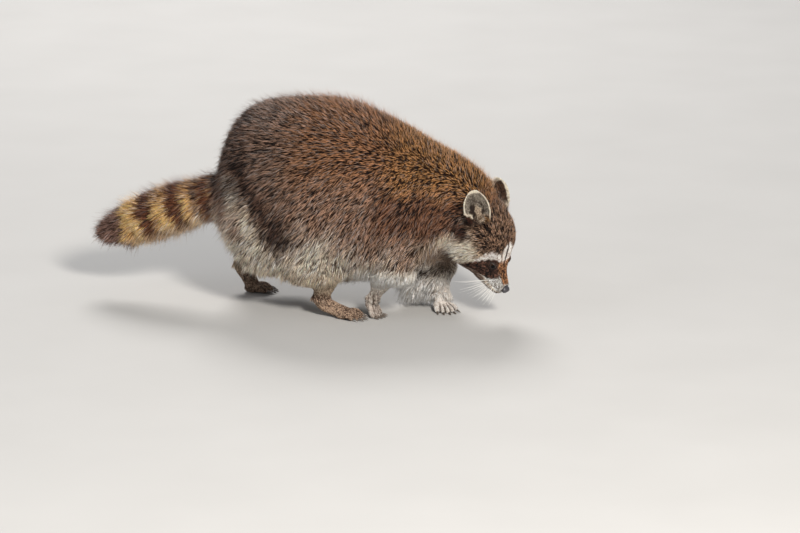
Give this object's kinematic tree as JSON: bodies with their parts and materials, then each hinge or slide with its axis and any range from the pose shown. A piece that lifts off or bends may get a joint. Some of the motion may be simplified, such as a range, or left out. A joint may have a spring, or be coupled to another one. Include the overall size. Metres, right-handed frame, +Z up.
{
  "type": "life-size raccoon model",
  "caption": "Standing raccoon in a long winter coat with its head lowered, a ringed tail held out behind and all feet on the floor.",
  "frame": {"origin": "middle of the footprint of the whole model, on the floor it stands on", "axes": "+X from the tail towards the head, +Y to the animal's left, +Z up"},
  "size_m": [0.7028, 0.2394, 0.3458],
  "materials": {
    "brown_fur": "long grizzled brown fur",
    "tail_fur": "long tan fur with dark rings",
    "face_fur": "short grizzled fur with a dark mask and pale brow",
    "pale_fur": "pale grizzled fur",
    "paw_skin": "very short pale hair over skin",
    "nose_skin": "moist dark skin",
    "eye": "glossy dark brown",
    "claw_horn": "dark horn"
  },
  "bodies": {
    "root": {"head": "face_fur", "ear_left": "face_fur", "ear_right": "face_fur", "neck": "brown_fur", "trunk": "brown_fur", "tail": "tail_fur", "hind_leg_right": "pale_fur", "hind_leg_left": "pale_fur", "foreleg_right": "pale_fur", "foreleg_left": "pale_fur", "hind_foot_right": "paw_skin", "hind_foot_left": "paw_skin", "forepaw_right": "paw_skin", "forepaw_left": "paw_skin", "eye_left": "eye", "eye_right": "eye", "nose": "nose_skin", "claw_hind_foot_right_1": "claw_horn", "claw_hind_foot_right_2": "claw_horn", "claw_hind_foot_right_3": "claw_horn", "claw_hind_foot_right_4": "claw_horn", "claw_hind_foot_right_5": "claw_horn", "claw_hind_foot_left_1": "claw_horn", "claw_hind_foot_left_2": "claw_horn", "claw_hind_foot_left_3": "claw_horn", "claw_hind_foot_left_4": "claw_horn", "claw_hind_foot_left_5": "claw_horn", "claw_forepaw_right_1": "claw_horn", "claw_forepaw_right_2": "claw_horn", "claw_forepaw_right_3": "claw_horn", "claw_forepaw_right_4": "claw_horn", "claw_forepaw_right_5": "claw_horn", "claw_forepaw_left_1": "claw_horn", "claw_forepaw_left_2": "claw_horn", "claw_forepaw_left_3": "claw_horn", "claw_forepaw_left_4": "claw_horn", "claw_forepaw_left_5": "claw_horn"}
  },
  "joints": []
}
